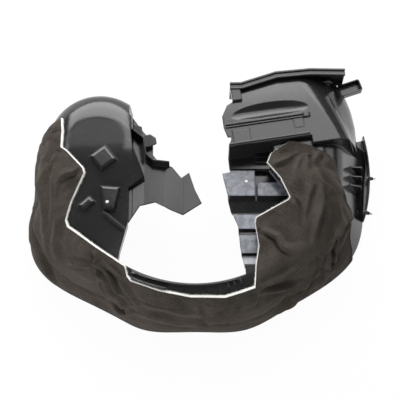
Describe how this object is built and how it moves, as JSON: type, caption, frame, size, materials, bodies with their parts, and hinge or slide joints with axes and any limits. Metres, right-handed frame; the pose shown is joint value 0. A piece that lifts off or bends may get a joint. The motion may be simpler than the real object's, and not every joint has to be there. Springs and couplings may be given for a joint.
{
  "type": "wheel arch liner",
  "caption": "Arch-shaped moulded plastic liner for a car's wheel housing, with a needle-felt pad over its back, folded inboard walls, screw holes and push clips at its rim.",
  "frame": {"origin": "middle of the bounding box, on the floor that the outboard rim lies on", "axes": "+X from the short leg to the leg with the end panel, +Y from the crown of the arch to the ends of its legs, +Z inboard, away from the floor"},
  "size_m": [0.9022, 0.6352, 0.234],
  "materials": {
    "shell_plastic": "moulded, semi-gloss, lightly scuffed",
    "needle_felt": "needle-punched, creased, with pale cut edges",
    "clip_plastic": "moulded",
    "pin_plastic": "moulded, natural"
  },
  "bodies": {
    "root": {"liner_shell": "shell_plastic", "felt_pad": "needle_felt", "clip_grommets": "clip_plastic", "clip_pins": "pin_plastic"}
  },
  "joints": []
}
